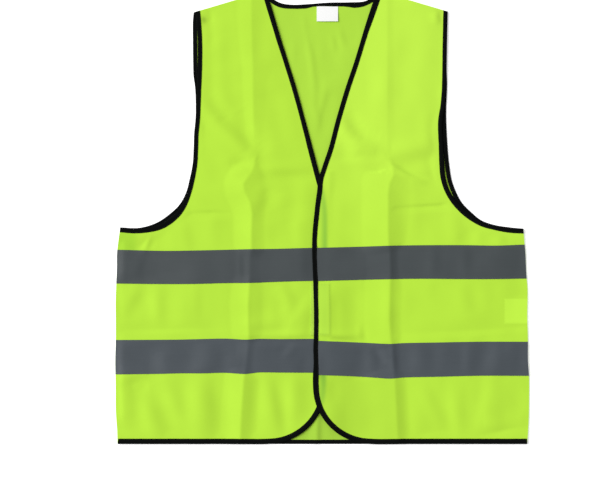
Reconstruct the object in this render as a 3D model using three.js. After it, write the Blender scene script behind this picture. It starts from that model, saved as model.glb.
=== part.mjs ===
// Safety vest of fluorescent knit with reflective tape, closed and laid flat on its back.
// Millimetres. +X towards the wearer's left, +Y from hem to neck, +Z up from the surface
// it lies on. The origin is the middle of the vest's outline, on that surface.
//
// Every cloth piece is a thin wall. The pieces lie on each other in layers, one LAYER
// apart: back tapes (0), back panel (1), upper legs of the back bindings (2), lower legs of
// the front bindings (3), front panels at their bound edges (4), front tapes and upper legs
// (5). Away from their bound edges the front panels sink to layer 2, onto the back panel.
// Where the fronts overlap, the left front lies three layers higher.

import * as THREE from 'three';

// ------------------------------------------------------------------ driving sizes
const CLOTH = 1.0;                  // wall of every cloth piece
const SEAM_GAP = 0.3;               // air between two pieces that are sewn together
const LAYER = CLOTH + SEAM_GAP;     // from one layer's underside to the next one's
const BINDING_WIDTH = 6.5;          // binding seen on each face
const HEM_Y = -337;                 // outline of the bound hem
const SIDE_COLUMN_X = 272;          // where the armhole runs level towards the side seam
const SHOULDER_COLUMN_X = 135;      // middle of the shoulder seams
const CORNER_RADIUS = 87;           // rounded front corners
const CORNER_TOP_Y = -250;          // where the corners' arcs begin
const CORNER_STEPS = 5;
const EDGE_REACH = 26;              // a front panel sinks onto the back within this distance
const FOLD_RISE = 3;                // height of the long packing folds
const FOLD_HALF_WIDTH = 18;
const CROSS_FOLD_RISE = 1.2;        // height of the fold across the chest
const OVERLAP_LIFT = 3 * LAYER;     // the left front lies on the right front
const OVERLAP_END_X = 50;           // where the left front is back down
const STRIP_WIDTH = 18;             // hook and loop strips
const NECK_LABEL = { left: -8.5, right: 23.3, bottom: 292.7 };

// Layers of the flat parts.
const BACK_TAPE_Z = 0;
const BACK_Z = LAYER;
const ON_BACK_Z = 2 * LAYER;
const FRONT_EDGE_Z = 4 * LAYER;

// ------------------------------------------------------------------ outline tables
// Side seams: x by y, from the armpit to the hem.
const RIGHT_SIDE = [
  { y: -14.8, x: -300 }, { y: -51, x: -305 }, { y: -105, x: -306.9 }, { y: -125, x: -307.4 },
  { y: -284, x: -307.4 }, { y: -301, x: -306.2 }, { y: -319, x: -304.8 }, { y: -337, x: -304 },
];
const LEFT_SIDE = [
  { y: -16.6, x: 299.3 }, { y: -51, x: 302.6 }, { y: -85, x: 303.5 }, { y: -105, x: 304.9 },
  { y: -150, x: 304.9 }, { y: -240, x: 307.4 }, { y: -275, x: 307.4 }, { y: -337, x: 305 },
];

// The long folds of the fronts: x by y, from the shoulder to the hem.
const RIGHT_FOLD = [
  { y: 336, x: -101 }, { y: 234, x: -104 }, { y: 145, x: -101 }, { y: 80, x: -98 },
  { y: 41, x: -104 }, { y: -41, x: -103 }, { y: -97, x: -106 }, { y: -175, x: -106 },
  { y: -235, x: -112 }, { y: -337, x: -115 },
];
const LEFT_FOLD = [
  { y: 336, x: 95 }, { y: 145, x: 95 }, { y: 80, x: 96.6 }, { y: 41, x: 98 },
  { y: -41, x: 99 }, { y: -97, x: 104 }, { y: -175, x: 105 }, { y: -239, x: 106 },
  { y: -337, x: 113 },
];

// Rows of a front above the armpit, from the shoulder down: the finished outline at the
// armhole (holeX, holeY) and at the neckline or front edge (edgeX, edgeY).
const RIGHT_UPPER_ROWS = [
  { holeX: -187.4, holeY: 305.7, edgeX: -82.4, edgeY: 336.8 },
  { holeX: -186.3, holeY: 262, edgeX: -68.6, edgeY: 291.5 },
  { holeX: -186.2, holeY: 225, edgeX: -51.3, edgeY: 234.3 },
  { holeX: -187.3, holeY: 190, edgeX: -37.6, edgeY: 189.7 },
  { holeX: -189.2, holeY: 145, edgeX: -25.2, edgeY: 145 },
  { holeX: -191.8, holeY: 103, edgeX: -14, edgeY: 103 },
  { holeX: -193.4, holeY: 80, edgeX: -8, edgeY: 80, crossFold: true },
  { holeX: -197, holeY: 57.5, edgeX: -1.5, edgeY: 55 },
  { holeX: -201.3, holeY: 40.4, edgeX: 3, edgeY: 38 },
  { holeX: -207.5, holeY: 23.2, edgeX: 5.2, edgeY: 22 },
  { holeX: -218, holeY: 6.7, edgeX: 6.2, edgeY: 8 },
  { holeX: -240.7, holeY: -9.8, edgeX: 6.4, edgeY: -6 },
  { holeX: -SIDE_COLUMN_X, holeY: -16.3, edgeX: 6.5, edgeY: -20 },
];
const LEFT_UPPER_ROWS = [
  { holeX: 186.9, holeY: 306, edgeX: 81.5, edgeY: 337 },
  { holeX: 185.9, holeY: 262, edgeX: 65.9, edgeY: 291.5 },
  { holeX: 185.4, holeY: 225, edgeX: 48.3, edgeY: 234.3 },
  { holeX: 184.5, holeY: 190, edgeX: 33.5, edgeY: 190 },
  { holeX: 178.9, holeY: 142, edgeX: 20.2, edgeY: 145 },
  { holeX: 180, holeY: 105, edgeX: 9, edgeY: 103 },
  { holeX: 180.8, holeY: 82, edgeX: 1.5, edgeY: 80, crossFold: true },
  { holeX: 182.9, holeY: 60, edgeX: -6, edgeY: 55.7 },
  { holeX: 188.8, holeY: 42, edgeX: -8.6, edgeY: 38 },
  { holeX: 199.3, holeY: 24.6, edgeX: -10, edgeY: 22 },
  { holeX: 216.7, holeY: 7.5, edgeX: -11.8, edgeY: 8 },
  { holeX: 239, holeY: -5.6, edgeX: -13, edgeY: -6 },
  { holeX: SIDE_COLUMN_X, holeY: -15.4, edgeX: -14.4, edgeY: -20 },
];

// Rows of a front below the armpit: height at the side seam, outline at the front edge,
// and what begins or ends on the row.
const RIGHT_LOWER_ROWS = [
  { sideY: -47.7, edgeX: 6.5, edgeY: -44.4, mark: 'upperTapeTop' },
  { sideY: -97.5, edgeX: 6.5, edgeY: -93.7, mark: 'upperTapeBottom' },
  { sideY: -101.5, edgeX: 6.5, edgeY: -98, mark: 'stripTop' },
  { sideY: -175.5, edgeX: 6.4, edgeY: -175, mark: 'stripBottom' },
  { sideY: -181.8, edgeX: 6.3, edgeY: -179.4, mark: 'lowerTapeTop' },
  { sideY: -232.5, edgeX: 6.1, edgeY: -230.2, mark: 'lowerTapeBottom' },
];
const LEFT_LOWER_ROWS = [
  { sideY: -40.6, edgeX: -15.3, edgeY: -44.3, mark: 'upperTapeTop' },
  { sideY: -90.3, edgeX: -13.4, edgeY: -93.6, mark: 'upperTapeBottom' },
  { sideY: -95, edgeX: -13.2, edgeY: -98, mark: 'stripTop' },
  { sideY: -121, edgeX: -12.6, edgeY: -123, mark: 'labelTop' },
  { sideY: -157, edgeX: -12.1, edgeY: -158.5, mark: 'labelBottom' },
  { sideY: -174, edgeX: -13.2, edgeY: -175, mark: 'stripBottom' },
  { sideY: -184.1, edgeX: -13.5, edgeY: -182.9, mark: 'lowerTapeTop' },
  { sideY: -235, edgeX: -14.2, edgeY: -234, mark: 'lowerTapeBottom' },
];

// Back: outlines of its two armholes (right one first) row by row, from the shoulder down.
const BACK_UPPER_ROWS = [
  { rightX: -190.5, rightY: 304.8, leftX: 186.9, leftY: 306 },
  { rightX: -192.5, rightY: 262, leftX: 186, leftY: 262 },
  { rightX: -192.4, rightY: 225, leftX: 185.2, leftY: 225 },
  { rightX: -189.1, rightY: 190, leftX: 185, leftY: 190 },
  { rightX: -188.6, rightY: 145, leftX: 184.1, leftY: 145 },
  { rightX: -191.6, rightY: 103, leftX: 186.3, leftY: 103 },
  { rightX: -193.8, rightY: 78, leftX: 188.8, leftY: 78 },
  { rightX: -197.8, rightY: 56, leftX: 192.6, leftY: 56 },
  { rightX: -203, rightY: 38, leftX: 198.6, leftY: 39 },
  { rightX: -212.7, rightY: 20, leftX: 208, leftY: 22 },
  { rightX: -226.5, rightY: 6.5, leftX: 222.5, leftY: 7 },
  { rightX: -247, rightY: -7.5, leftX: 243, leftY: -7 },
  { rightX: -SIDE_COLUMN_X, rightY: -16, leftX: SIDE_COLUMN_X, leftY: -15.3 },
];
const BACK_LOWER_ROWS = [
  { rightY: -47.7, leftY: -40.6, mark: 'upperTapeTop' },
  { rightY: -97.5, leftY: -90.3, mark: 'upperTapeBottom' },
  { rightY: -181.8, leftY: -184.1, mark: 'lowerTapeTop' },
  { rightY: -232.5, leftY: -235, mark: 'lowerTapeBottom' },
  { rightY: HEM_Y + BINDING_WIDTH, leftY: HEM_Y + BINDING_WIDTH, mark: 'hem' },
];
const BACK_NECK = [
  { x: -82.4, y: 336.8 }, { x: -71, y: 325.5 }, { x: -60, y: 319.6 }, { x: -43, y: 317 },
  { x: -20, y: 317.8 }, { x: 10, y: 319.8 }, { x: 40, y: 320.4 }, { x: 62, y: 322.8 },
  { x: 72, y: 328 }, { x: 81.5, y: 337 },
];

// ------------------------------------------------------------------ small helpers
const clamp01 = (t) => Math.min(1, Math.max(0, t));
const mix = (a, b, t) => a + (b - a) * t;
const direction = (from, to) => new THREE.Vector2(to.x - from.x, to.y - from.y).normalize();

// x of a table of { y, x } rows, falling y, at the height y.
function xAt(table, y) {
  const last = table.length - 2;
  let i = 0;
  while (i < last && y < table[i + 1].y) i += 1;
  const t = clamp01((y - table[i].y) / (table[i + 1].y - table[i].y));
  return mix(table[i].x, table[i + 1].x, t);
}

// y on the straight line through two points, at x.
function yOnLine(a, b, x) {
  return mix(a.y, b.y, (x - a.x) / (b.x - a.x));
}

// The path moved sideways by a distance. hand is 1 where the panel lies left of the way the
// path runs, -1 where it lies right. The two ends move along the seams that they lie on.
function inset(path, distance, hand, startSeam, endSeam) {
  const normals = [];
  for (let i = 0; i + 1 < path.length; i += 1) {
    const along = direction(path[i], path[i + 1]);
    normals.push(new THREE.Vector2(-along.y * hand, along.x * hand));
  }
  return path.map((point, i) => {
    let way;
    let normal;
    if (i === 0) {
      [way, normal] = [startSeam, normals[0]];
    } else if (i === path.length - 1) {
      [way, normal] = [endSeam, normals[i - 1]];
    } else {
      [way, normal] = [normals[i - 1].clone().add(normals[i]).normalize(), normals[i]];
    }
    const step = distance / way.dot(normal);
    return { x: point.x + way.x * step, y: point.y + way.y * step };
  });
}

// Distance from a point to a polyline.
function distanceTo(path, point) {
  let nearest = Infinity;
  for (let i = 0; i + 1 < path.length; i += 1) {
    const a = path[i];
    const b = path[i + 1];
    const run = { x: b.x - a.x, y: b.y - a.y };
    const length2 = run.x ** 2 + run.y ** 2;
    const t = clamp01(((point.x - a.x) * run.x + (point.y - a.y) * run.y) / length2);
    nearest = Math.min(nearest, Math.hypot(point.x - a.x - run.x * t, point.y - a.y - run.y * t));
  }
  return nearest;
}

function area(face) {
  let sum = 0;
  face.forEach((a, i) => {
    const b = face[(i + 1) % face.length];
    sum += a.x * b.y - b.x * a.y;
  });
  return sum / 2;
}

function solid(positions, triangles) {
  const geometry = new THREE.BufferGeometry();
  geometry.setAttribute('position', new THREE.Float32BufferAttribute(positions, 3));
  geometry.setIndex(triangles);
  geometry.computeVertexNormals();
  return geometry;
}

// ------------------------------------------------------------------ cloth walls
// A wall one CLOTH thick on faces that share their points, moved up by lift. A point's z is
// the height of its panel's underside, so what is made from a panel's faces lies along it.
function wall(faces, lift) {
  const index = new Map();
  const positions = [];
  const triangles = [];
  const edges = new Map();
  const bottom = (point) => {
    if (!index.has(point)) {
      index.set(point, positions.length / 3);
      positions.push(point.x, point.y, point.z + lift);
      positions.push(point.x, point.y, point.z + lift + CLOTH);
    }
    return index.get(point);
  };
  for (const face of faces) {
    const ring = area(face) > 0 ? face.map(bottom) : face.map(bottom).reverse();
    const [a, b, c, d] = ring;
    // The same diagonal, from the face's first point, whichever way round it is listed.
    const halves = area(face) > 0 ? [[a, b, c], [a, c, d]] : [[d, a, b], [d, b, c]];
    for (const [i, j, k] of halves) {
      triangles.push(i + 1, j + 1, k + 1, i, k, j);
    }
    ring.forEach((from, i) => {
      const to = ring[(i + 1) % ring.length];
      const twin = `${to},${from}`;
      if (edges.has(twin)) edges.delete(twin);
      else edges.set(`${from},${to}`, [from, to]);
    });
  }
  for (const [from, to] of edges.values()) {
    triangles.push(from, to, to + 1, from, to + 1, from + 1);
  }
  return solid(positions, triangles);
}

// The quads between two neighbouring rows or paths of points.
function quadsBetween(first, second) {
  const quads = [];
  for (let i = 0; i + 1 < first.length; i += 1) {
    quads.push([first[i], first[i + 1], second[i + 1], second[i]]);
  }
  return quads;
}

// A panel's bound edge: its outline, the panel's own edge inside the binding, and the lip
// where the binding's legs end.
function boundEdge(outline, hand, startSeam, endSeam) {
  const at = (distance) => inset(outline, distance, hand, startSeam, endSeam);
  return {
    outline,
    inside: at(CLOTH),
    edge: at(LAYER),
    lip: at(BINDING_WIDTH),
  };
}

// A binding: a U folded over a bound edge, its two legs along the panel's two faces.
function binding(bound) {
  const positions = [];
  const triangles = [];
  const stations = bound.outline.length;
  for (let i = 0; i < stations; i += 1) {
    const { z: edgeZ } = bound.edge[i];
    const { z: lipZ } = bound.lip[i];
    const section = [
      [bound.outline[i], edgeZ + LAYER + CLOTH],
      [bound.lip[i], lipZ + LAYER + CLOTH],
      [bound.lip[i], lipZ + LAYER],
      [bound.inside[i], edgeZ + LAYER],
      [bound.inside[i], edgeZ - SEAM_GAP],
      [bound.lip[i], lipZ - SEAM_GAP],
      [bound.lip[i], lipZ - LAYER],
      [bound.outline[i], edgeZ - LAYER],
    ];
    for (const [point, z] of section) positions.push(point.x, point.y, z);
  }
  const sides = 8;
  const addQuad = (a, b, c, d) => triangles.push(a, b, c, a, c, d);
  for (let i = 0; i + 1 < stations; i += 1) {
    for (let s = 0; s < sides; s += 1) {
      const t = (s + 1) % sides;
      const here = i * sides;
      const next = here + sides;
      // Each leg face is cut along the diagonal that the panel's own faces have.
      if (s === 2 || s === 6) addQuad(here + t, here + s, next + s, next + t);
      else addQuad(here + s, next + s, next + t, here + t);
    }
  }
  const end = (stations - 1) * sides;
  for (const [a, b, c, d] of [[0, 1, 2, 3], [4, 5, 6, 7], [0, 3, 4, 7]]) {
    addQuad(a, b, c, d);
    addQuad(end + d, end + c, end + b, end + a);
  }
  return facingOut(positions, triangles);
}

// The same triangles, turned over if they enclose a negative volume.
function facingOut(positions, triangles) {
  let volume = 0;
  const corner = (i) => new THREE.Vector3().fromArray(positions, i * 3);
  for (let i = 0; i < triangles.length; i += 3) {
    const [a, b, c] = [corner(triangles[i]), corner(triangles[i + 1]), corner(triangles[i + 2])];
    volume += a.dot(b.cross(c));
  }
  return solid(positions, volume > 0 ? triangles : triangles.slice().reverse());
}

// ------------------------------------------------------------------ front panels
// Columns of a front's rows, from the side to the front edge: side, half way, the long fold
// between its two feet, the foot and the edge of the overlap, the tape's end and the lip.
const FOLD_COLUMN = 3;
const OVERLAP_COLUMN = 6;
const TAPE_END_COLUMN = 7;

function columnXs(sideX, foldX, lipX) {
  const outer = Math.abs(foldX - sideX);
  const inner = Math.abs(lipX - foldX);
  const inwards = Math.sign(lipX - foldX);
  const outerFoot = foldX - inwards * Math.min(FOLD_HALF_WIDTH, 0.3 * outer);
  const innerFoot = foldX + inwards * Math.min(FOLD_HALF_WIDTH, 0.28 * inner);
  const overlapFoot = lipX - inwards * Math.min(3.2 * STRIP_WIDTH, 0.6 * inner);
  const overlapEdge = lipX - inwards * (SEAM_GAP + Math.min(STRIP_WIDTH, 0.3 * inner));
  const tapeEnd = lipX - inwards * SEAM_GAP;
  const middle = (sideX + outerFoot) / 2;
  return [sideX, middle, outerFoot, foldX, innerFoot, overlapFoot, overlapEdge, tapeEnd, lipX];
}

// How far from the front edge a front stays level: the width of the strips, along the overlap.
function levelWidth(y) {
  const below = clamp01((y - CORNER_TOP_Y + 50) / 50);
  const above = clamp01((100 - y) / 40);
  return (STRIP_WIDTH + 2 * SEAM_GAP) * Math.min(below, above);
}

function overlapLift(x, y) {
  const across = clamp01((OVERLAP_END_X - x) / (OVERLAP_END_X - 10.6));
  const upwards = clamp01((145 - y) / 65);
  return OVERLAP_LIFT * across * upwards;
}

function makeFront(spec) {
  const { hand, upperRows, lowerRows, side, fold, liftAt } = spec;
  const armpit = upperRows.length - 1;

  // The armhole's outline runs from the shoulder to the side seam.
  const shoulder = direction({ x: upperRows[0].holeX, y: upperRows[0].holeY },
    { x: upperRows[0].edgeX, y: upperRows[0].edgeY });
  const sideDown = direction(side[0], side[1]);
  const holeOutline = upperRows.map((row) => ({ x: row.holeX, y: row.holeY }));
  holeOutline.push({ x: side[0].x, y: side[0].y });
  const hole = boundEdge(holeOutline, -hand, shoulder, sideDown);

  // The front's outline runs from the neck point down the neckline and the front edge,
  // round the corner and along the hem to the side seam.
  const frontOutline = [...upperRows, ...lowerRows].map((row) => ({ x: row.edgeX, y: row.edgeY }));
  const cornerX = frontOutline.at(-1).x + hand * CORNER_RADIUS;
  for (let i = 0; i <= CORNER_STEPS; i += 1) {
    const turn = (i / CORNER_STEPS) * Math.PI / 2;
    frontOutline.push({
      x: cornerX - hand * CORNER_RADIUS * Math.cos(turn),
      y: CORNER_TOP_Y - CORNER_RADIUS * Math.sin(turn),
    });
  }
  const lastRow = frontOutline.length - 1;
  const hemStartX = cornerX + hand * LAYER;  // clear of the mitre where the arc ends
  const hemXs = columnXs(hand * SIDE_COLUMN_X, xAt(fold, HEM_Y), hemStartX);
  for (const x of hemXs.slice(0, -1).reverse()) frontOutline.push({ x, y: HEM_Y });
  frontOutline.push({ x: side.at(-1).x, y: HEM_Y });
  const front = boundEdge(frontOutline, hand, shoulder.clone().negate(), sideDown.clone().negate());

  const heightAt = (point, rise) => {
    const fromFront = Math.max(0, distanceTo(front.lip, point) - levelWidth(point.y));
    const away = clamp01(Math.min(distanceTo(hole.lip, point), fromFront) / EDGE_REACH);
    return mix(FRONT_EDGE_Z, ON_BACK_Z, away) + rise * away + liftAt(point.x, point.y);
  };

  // Rows of points between the lips.
  const rows = [];
  for (let r = 0; r <= lastRow; r += 1) {
    const lip = front.lip[r];
    const lower = lowerRows[r - armpit - 1];
    const crossFold = r <= armpit && upperRows[r].crossFold ? CROSS_FOLD_RISE : 0;
    let seam = null;
    let sidePoint;
    if (r <= armpit) {
      sidePoint = hole.lip[r];
      if (r === armpit) seam = hole.lip[r + 1];
    } else {
      const sideY = lower ? lower.sideY : lip.y;
      seam = { x: xAt(side, sideY), y: sideY };
      sidePoint = { x: hand * SIDE_COLUMN_X, y: yOnLine(seam, lip, hand * SIDE_COLUMN_X) };
    }
    if (r === lastRow) {
      // The hem's lip is the last row.
      const hem = front.lip.slice(r).reverse();
      [seam] = hem;
      rows.push({ seam, points: hem.slice(1), mark: 'hem' });
    } else {
      const xs = columnXs(sidePoint.x, xAt(fold, lip.y), lip.x);
      const points = xs.map((x) => ({ x, y: yOnLine(sidePoint, lip, x) }));
      points[0] = sidePoint;
      points[points.length - 1] = lip;
      rows.push({ seam, points, mark: lower ? lower.mark : '' });
    }
    rows[r].points.forEach((point, c) => {
      point.z = heightAt(point, c === FOLD_COLUMN ? FOLD_RISE : crossFold);
    });
    if (rows[r].seam) rows[r].seam.z = heightAt(rows[r].seam, 0);
  }
  for (const bound of [hole, front]) {
    bound.edge.forEach((point, i) => {
      point.z = bound.lip[i].z + liftAt(point.x, point.y) - liftAt(bound.lip[i].x, bound.lip[i].y);
    });
  }

  // The left front is raised over the label in its side seam.
  for (const row of rows.filter(({ mark }) => mark.startsWith('label'))) {
    for (const point of [row.seam, row.points[0]]) point.z = Math.max(point.z, 3 * LAYER);
  }

  const rowAt = (mark) => rows.findIndex((row) => row.mark === mark);
  const between = (topMark, bottomMark, firstColumn, lastColumn) => {
    const quads = [];
    for (let r = rowAt(topMark); r < rowAt(bottomMark); r += 1) {
      const [above, below] = [rows[r], rows[r + 1]];
      const take = (row) => [row.seam, ...row.points].slice(firstColumn, lastColumn + 1);
      quads.push(...quadsBetween(take(below), take(above)));
    }
    return quads;
  };
  const cells = [];
  for (let r = 0; r < lastRow; r += 1) {
    cells.push(...quadsBetween(rows[r + 1].points, rows[r].points));
    if (r >= armpit) {
      cells.push([rows[r + 1].seam, rows[r + 1].points[0], rows[r].points[0], rows[r].seam]);
    }
  }
  const rims = [hole, front].flatMap((bound) => quadsBetween(bound.edge, bound.lip));
  return { faces: [...cells, ...rims], hole, front, between };
}

// ------------------------------------------------------------------ back panel
function makeBack() {
  const armpit = BACK_UPPER_ROWS.length - 1;
  const tip = BACK_UPPER_ROWS[0];
  const rightTip = { x: tip.rightX, y: tip.rightY };
  const leftTip = { x: tip.leftX, y: tip.leftY };
  const neckRight = BACK_NECK[0];
  const neckLeft = BACK_NECK.at(-1);
  const rightShoulder = direction(rightTip, neckRight);
  const leftShoulder = direction(leftTip, neckLeft);

  const holeOutline = (name, side) => [
    ...BACK_UPPER_ROWS.map((row) => ({ x: row[`${name}X`], y: row[`${name}Y`] })),
    { x: side[0].x, y: side[0].y },
  ];
  const rightDown = direction(RIGHT_SIDE[0], RIGHT_SIDE[1]);
  const leftDown = direction(LEFT_SIDE[0], LEFT_SIDE[1]);
  const rightHole = boundEdge(holeOutline('right', RIGHT_SIDE), 1, rightShoulder, rightDown);
  const leftHole = boundEdge(holeOutline('left', LEFT_SIDE), -1, leftShoulder, leftDown);
  const neck = boundEdge(BACK_NECK, -1, rightShoulder.clone().negate(),
    leftShoulder.clone().negate());

  // Columns that run the whole height, under the neck's own points and the shoulders.
  const innerXs = [-SHOULDER_COLUMN_X, ...neck.lip.map(({ x }) => x), SHOULDER_COLUMN_X];
  const hemXs = [-SIDE_COLUMN_X, ...innerXs, SIDE_COLUMN_X];
  const hemOutline = [RIGHT_SIDE.at(-1).x, ...hemXs, LEFT_SIDE.at(-1).x]
    .map((x) => ({ x, y: HEM_Y }));
  const hem = boundEdge(hemOutline, 1, rightDown.clone().negate(), leftDown.clone().negate());

  const rows = [];
  for (let r = 0; r <= armpit; r += 1) {
    const [right, left] = [rightHole.lip[r], leftHole.lip[r]];
    const inner = innerXs.map((x) => ({ x, y: yOnLine(right, left, x) }));
    if (r === 0) {
      inner[0].y = yOnLine(rightTip, neckRight, inner[0].x);
      inner.splice(1, neck.lip.length, ...neck.lip);
      inner.at(-1).y = yOnLine(leftTip, neckLeft, inner.at(-1).x);
    }
    const seams = r === armpit ? [rightHole.lip[r + 1], leftHole.lip[r + 1]] : [null, null];
    rows.push({ points: [right, ...inner, left], seams, mark: '' });
  }
  for (const { rightY, leftY, mark } of BACK_LOWER_ROWS) {
    if (mark === 'hem') {
      rows.push({ points: hem.lip.slice(1, -1), seams: [hem.lip[0], hem.lip.at(-1)], mark });
      continue;
    }
    const right = { x: xAt(RIGHT_SIDE, rightY), y: rightY };
    const left = { x: xAt(LEFT_SIDE, leftY), y: leftY };
    const points = hemXs.map((x) => ({ x, y: yOnLine(right, left, x) }));
    rows.push({ points, seams: [right, left], mark });
  }

  const whole = (row) => [row.seams[0], ...row.points, row.seams[1]];
  const cells = [];
  for (let r = 0; r + 1 < rows.length; r += 1) {
    const take = r < armpit ? (row) => row.points : whole;
    cells.push(...quadsBetween(take(rows[r + 1]), take(rows[r])));
  }
  const bounds = [rightHole, leftHole, neck, hem];
  const faces = [...cells, ...bounds.flatMap((bound) => quadsBetween(bound.edge, bound.lip))];
  for (const point of faces.flat()) point.z = BACK_Z;

  const across = (topMark, bottomMark) => {
    const top = rows.find((row) => row.mark === topMark);
    const bottom = rows.find((row) => row.mark === bottomMark);
    return quadsBetween(whole(bottom), whole(top));
  };
  return { faces, rightHole, leftHole, neck, hem, across };
}

// The label hangs from the back neck binding, on the back panel.
function neckLabelFaces(neck) {
  const heightAt = (x) => {
    const i = neck.lip.findIndex((point, k) => x <= neck.lip[k + 1].x);
    return yOnLine(neck.lip[i], neck.lip[i + 1], x) - SEAM_GAP;
  };
  const { left, right, bottom } = NECK_LABEL;
  const middle = neck.lip.find((point) => point.x > left && point.x < right).x;
  const xs = [left, middle, right];
  const lower = xs.map((x) => ({ x, y: bottom, z: ON_BACK_Z }));
  const upper = xs.map((x) => ({ x, y: heightAt(x), z: ON_BACK_Z }));
  return quadsBetween(lower, upper);
}

// ------------------------------------------------------------------ materials
const cloth = (name, color, roughness) => {
  const material = new THREE.MeshStandardMaterial({ color, roughness, metalness: 0 });
  material.name = name;
  return material;
};
const knit = cloth('knit', 0xbcea46, 0.75);
const reflectiveTape = cloth('reflective_tape', 0x50565a, 0.45);
const bindingTape = cloth('binding_tape', 0x0e100e, 0.85);
const labelCloth = cloth('label', 0xf4f4f2, 0.7);
const hookTape = cloth('hook_and_loop', 0xb4de4c, 0.9);

// ------------------------------------------------------------------ assembly
const vest = new THREE.Group();

function add(name, geometry, material) {
  const mesh = new THREE.Mesh(geometry, material);
  mesh.name = name;
  vest.add(mesh);
}

const back = makeBack();
add('back', wall(back.faces, 0), knit);
add('back_tape_upper', wall(back.across('upperTapeTop', 'upperTapeBottom'), BACK_TAPE_Z - BACK_Z),
  reflectiveTape);
add('back_tape_lower', wall(back.across('lowerTapeTop', 'lowerTapeBottom'), BACK_TAPE_Z - BACK_Z),
  reflectiveTape);
add('armhole_binding_back_right', binding(back.rightHole), bindingTape);
add('armhole_binding_back_left', binding(back.leftHole), bindingTape);
add('neck_binding_back', binding(back.neck), bindingTape);
add('hem_binding_back', binding(back.hem), bindingTape);
add('neck_label', wall(neckLabelFaces(back.neck), 0), labelCloth);

const fronts = {
  right: makeFront({
    hand: -1,
    upperRows: RIGHT_UPPER_ROWS,
    lowerRows: RIGHT_LOWER_ROWS,
    side: RIGHT_SIDE,
    fold: RIGHT_FOLD,
    liftAt: () => 0,
  }),
  left: makeFront({
    hand: 1,
    upperRows: LEFT_UPPER_ROWS,
    lowerRows: LEFT_LOWER_ROWS,
    side: LEFT_SIDE,
    fold: LEFT_FOLD,
    liftAt: overlapLift,
  }),
};
for (const [name, front] of Object.entries(fronts)) {
  add(`front_${name}`, wall(front.faces, 0), knit);
  // Counted with the side seam, the tape's end is one column further on.
  for (const level of ['upper', 'lower']) {
    const faces = front.between(`${level}TapeTop`, `${level}TapeBottom`, 0, TAPE_END_COLUMN + 1);
    add(`front_${name}_tape_${level}`, wall(faces, LAYER), reflectiveTape);
  }
  add(`armhole_binding_front_${name}`, binding(front.hole), bindingTape);
  add(`edge_binding_front_${name}`, binding(front.front), bindingTape);
}

// Closure: the hook strip under the left front, the loop strip on the right front.
const stripFaces = (front) => front.between('stripTop', 'stripBottom',
  OVERLAP_COLUMN + 1, TAPE_END_COLUMN + 1);
add('hook_strip', wall(stripFaces(fronts.left), -LAYER), hookTape);
add('loop_strip', wall(stripFaces(fronts.right), LAYER), hookTape);

// Care label in the left side seam, under the left front.
add('care_label', wall(fronts.left.between('labelTop', 'labelBottom', 0, 1), -LAYER), labelCloth);

export default vest;
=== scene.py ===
"""Safety vest of fluorescent knit with reflective tape, closed and laid flat on its back.

+X is towards the wearer's left, +Y from hem to neck, +Z up from the floor. Sizes are in
millimetres, and become metres where a mesh is made. The cloth pieces lie on each other in
layers, each a thin closed shell. One height function for each panel carries its creases,
and all that is sewn to the panel follows it. The panels are the back and the right and left
front; the tables for them are keyed by back, right and left.
"""

import math

import bpy
import numpy as np
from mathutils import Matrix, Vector
from mathutils.geometry import delaunay_2d_cdt


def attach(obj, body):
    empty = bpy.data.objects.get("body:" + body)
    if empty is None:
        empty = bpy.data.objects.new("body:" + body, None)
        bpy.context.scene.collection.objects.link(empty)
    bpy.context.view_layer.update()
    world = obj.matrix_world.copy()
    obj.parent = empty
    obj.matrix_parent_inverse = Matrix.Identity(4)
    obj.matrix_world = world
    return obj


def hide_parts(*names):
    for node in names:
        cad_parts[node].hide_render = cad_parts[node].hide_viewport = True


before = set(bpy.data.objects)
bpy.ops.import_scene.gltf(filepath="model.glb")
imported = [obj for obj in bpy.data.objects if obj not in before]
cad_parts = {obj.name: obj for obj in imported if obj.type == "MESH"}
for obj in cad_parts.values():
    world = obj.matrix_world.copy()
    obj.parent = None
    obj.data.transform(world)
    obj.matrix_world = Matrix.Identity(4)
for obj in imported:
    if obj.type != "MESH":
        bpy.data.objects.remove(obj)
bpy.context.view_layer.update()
scene = bpy.context.scene

# ------ sizes
MM = 0.001
CLOTH = 0.5  # thickness of a cloth piece
GAP = 0.1  # air between two pieces that are sewn together
LAYER = CLOTH + GAP
BACK_Z = LAYER  # underside of the back panel, over the back tapes
BACK_REST = 0.15  # its creases rise from here, and bend softly to the floor
TOUCH = 0.02  # and it sinks this much, so that the tapes under it touch the floor
FRONT_Z = 4 * LAYER  # underside of a front panel at its bound edges
OVERLAP_LIFT = 4 * LAYER  # the left front lies this much higher on the right one
BILLOW = 1.4  # the fronts stand this much higher away from their edges
BILLOW_WIDTH = 60
SIDE_FADE = 105  # the fronts come down to the side seams over this width
SIDE_ROLL = 16  # and a share of their rise over this one, as a round rim
ROLL_SHARE = {"right": 0.22, "left": 0.0}
FLANK_POWER = (1.15, 1.5)  # how hollow the first and second flank of a ridge are
WAVE_LENGTHS = (34, 41, 52, 60, 75, 90, 120, 160)
WAVE_STEEPNESS = 0.0055
SEEDS = {"back": 3, "right": 7, "left": 11}
HEM_Y = -337.0
CORNER_RADIUS = 87.0
CORNER_TOP_Y = -250.0
ARMPIT_Y = -12  # the side seams are below it
BINDING_WIDTH = 6.5
EDGE_IN = 0.85  # a bound panel's own edge, inside the binding's fold
STITCH_IN = 5.2  # stitch row of a binding, from its outer edge
TAPE_IN = 1.4  # end of a front's tape, from the front edge
STRIP_WIDTH = 18.0  # hook and loop strips
STRIP_TOP = -98.0
STRIP_BOTTOM = -175.0
STRIP_REACH = BINDING_WIDTH + STRIP_WIDTH + GAP
NECK_LABEL = (-7.9, 23.7, 291.5)  # left, right, bottom
CARE_LABEL = (271.5, -121.0, -157.0)  # inner end, top, bottom
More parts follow.
